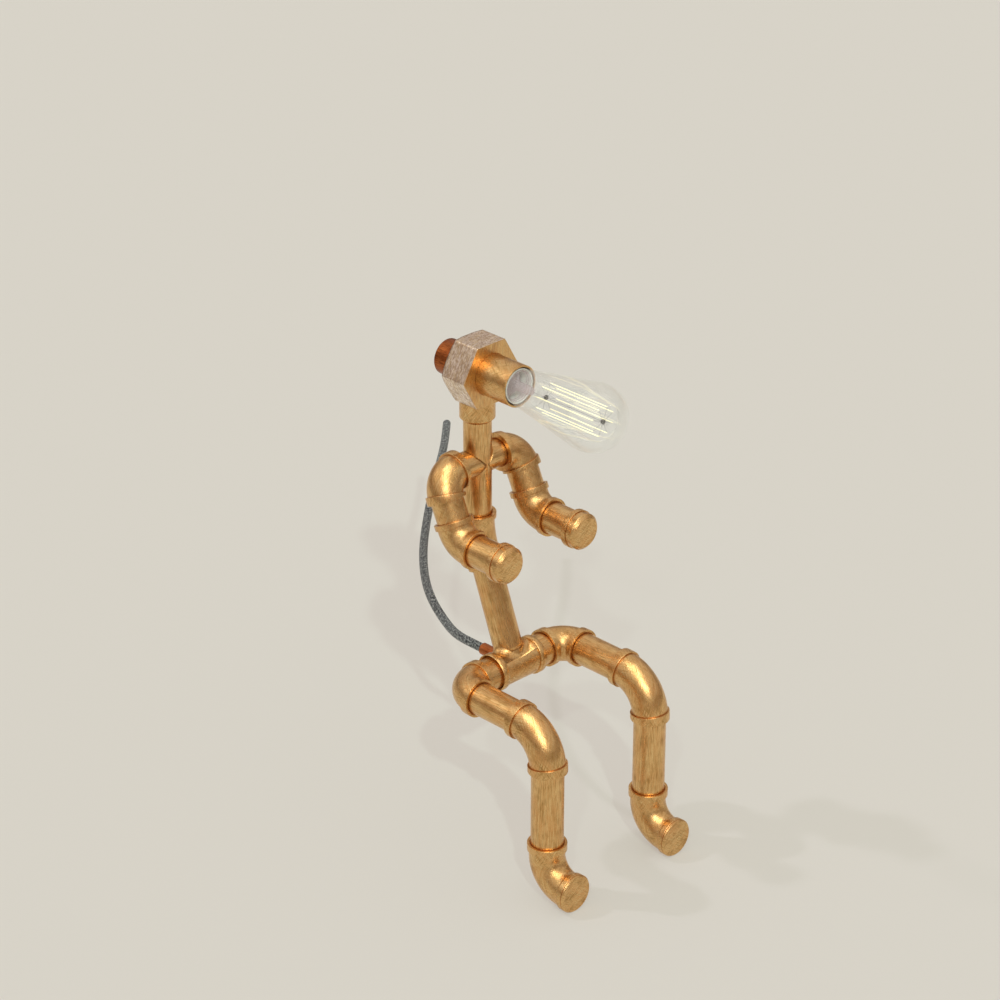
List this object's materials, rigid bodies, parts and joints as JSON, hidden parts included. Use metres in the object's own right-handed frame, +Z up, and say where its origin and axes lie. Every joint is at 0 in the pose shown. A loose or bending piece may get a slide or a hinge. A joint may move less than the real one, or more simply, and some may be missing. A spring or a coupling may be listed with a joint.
{
  "type": "desk lamp",
  "caption": "Seated figure built from brass pipe fittings that holds a clear filament bulb in its hexagonal head, with turning head, arms, legs, feet and rear switch knob.",
  "frame": {"origin": "on the seat, under the middle of the pelvis tee", "axes": "+X to the figure's left, -Y the way it faces, +Z up"},
  "size_m": [0.3936, 0.551, 0.4511],
  "materials": {
    "brushed_brass": "hand brushed, warm golden patina with olive-brown streaks",
    "head_block_brass": "hand brushed, paler on its flats",
    "copper_knob": "dark copper, satin",
    "copper_gland": "copper, satin",
    "holder_ceramic": "unglazed",
    "contact_metal": "bright",
    "plated_steel": "zinc plated",
    "switch_plastic": "moulded",
    "terminal_plastic": "moulded",
    "braided_cord": "grey heather textile braid",
    "core_insulation": "extruded insulation",
    "clear_glass": "clear blown glass",
    "stem_glass": "clear pressed glass",
    "bulb_cap_metal": "rolled, satin",
    "bulb_insulator_glass": "black glassy insulator",
    "support_wire": "drawn wire",
    "coated_filament": "pale yellow phosphor coat"
  },
  "bodies": {
    "torso": {"pelvis_tee": "brushed_brass", "lower_spine_tube": "brushed_brass", "waist_elbow": "brushed_brass", "upper_spine_tube": "brushed_brass", "shoulder_bar": "brushed_brass", "right_hip_nipple": "brushed_brass", "left_hip_nipple": "brushed_brass", "cord_gland": "copper_gland", "cord_tail": "braided_cord", "terminal_block": "terminal_plastic", "spine_cores": "core_insulation", "supply_cord": "braided_cord"},
    "right_leg": {"right_hip_elbow": "brushed_brass", "right_thigh_tube": "brushed_brass", "right_knee_elbow": "brushed_brass", "right_shin_tube": "brushed_brass"},
    "right_foot": {"right_ankle_elbow": "brushed_brass", "right_toe_plug": "brushed_brass"},
    "right_upper_arm": {"right_shoulder_elbow": "brushed_brass", "right_upper_arm_tube": "brushed_brass"},
    "right_forearm": {"right_arm_elbow": "brushed_brass", "right_forearm_tube": "brushed_brass", "right_hand_cap": "brushed_brass"},
    "left_leg": {"left_hip_elbow": "brushed_brass", "left_thigh_tube": "brushed_brass", "left_knee_elbow": "brushed_brass", "left_shin_tube": "brushed_brass"},
    "left_foot": {"left_ankle_elbow": "brushed_brass", "left_toe_plug": "brushed_brass"},
    "left_upper_arm": {"left_shoulder_elbow": "brushed_brass", "left_upper_arm_tube": "brushed_brass"},
    "left_forearm": {"left_arm_elbow": "brushed_brass", "left_forearm_tube": "brushed_brass", "left_hand_cap": "brushed_brass"},
    "head": {"head_collar": "brushed_brass", "head_block": "head_block_brass", "face_barrel": "brushed_brass", "lamp_holder": "holder_ceramic", "screw_shell": "contact_metal", "centre_contact": "contact_metal", "terminal_screws": "plated_steel", "rotary_switch": "switch_plastic", "switch_nut": "plated_steel", "head_cores": "core_insulation"},
    "knob": {"switch_knob": "copper_knob", "switch_shaft": "plated_steel"},
    "bulb": {"bulb_glass": "clear_glass", "bulb_screw_cap": "bulb_cap_metal", "bulb_insulator": "bulb_insulator_glass", "bulb_tip_contact": "contact_metal", "bulb_stem": "stem_glass", "filament_supports": "support_wire", "filaments": "coated_filament"}
  },
  "joints": [
    {"name": "head_turn", "type": "hinge", "parent": "torso", "child": "head", "pos_m": [0, 0.04231, 0.24], "axis": [0, 0, 1], "range_deg": [-80, 80]},
    {"name": "switch_turn", "type": "hinge", "parent": "head", "child": "knob", "pos_m": [0, 0.06, 0.2802], "axis": [0, -1, 0], "range_deg": [0, 270]},
    {"name": "bulb_withdraw", "type": "slide", "parent": "head", "child": "bulb", "axis": [0, -1, 0], "range_m": [0, 0.02]},
    {"name": "right_arm_swing", "type": "hinge", "parent": "torso", "child": "right_upper_arm", "pos_m": [-0.0441, 0.04231, 0.1952], "axis": [-1, 0, 0], "range_deg": [-20, 50]},
    {"name": "right_forearm_turn", "type": "hinge", "parent": "right_upper_arm", "child": "right_forearm", "pos_m": [-0.0441, 0.01722, 0.14236], "axis": [0, -0.4289, -0.9033], "range_deg": [-25, 60]},
    {"name": "right_leg_swing", "type": "hinge", "parent": "torso", "child": "right_leg", "pos_m": [-0.0618, 0, 0.017], "axis": [-1, 0, 0], "range_deg": [-20, 45]},
    {"name": "right_foot_turn", "type": "hinge", "parent": "right_leg", "child": "right_foot", "pos_m": [-0.0618, -0.1042, -0.1247], "axis": [0, 0, -1], "range_deg": [-30, 45]},
    {"name": "left_arm_swing", "type": "hinge", "parent": "torso", "child": "left_upper_arm", "pos_m": [0.0441, 0.04231, 0.1952], "axis": [-1, 0, 0], "range_deg": [-20, 50]},
    {"name": "left_forearm_turn", "type": "hinge", "parent": "left_upper_arm", "child": "left_forearm", "pos_m": [0.0441, 0.01722, 0.14236], "axis": [0, 0.4289, 0.9033], "range_deg": [-25, 60]},
    {"name": "left_leg_swing", "type": "hinge", "parent": "torso", "child": "left_leg", "pos_m": [0.0618, 0, 0.017], "axis": [-1, 0, 0], "range_deg": [-20, 45]},
    {"name": "left_foot_turn", "type": "hinge", "parent": "left_leg", "child": "left_foot", "pos_m": [0.0618, -0.1042, -0.1247], "axis": [0, 0, 1], "range_deg": [-30, 45]}
  ]
}
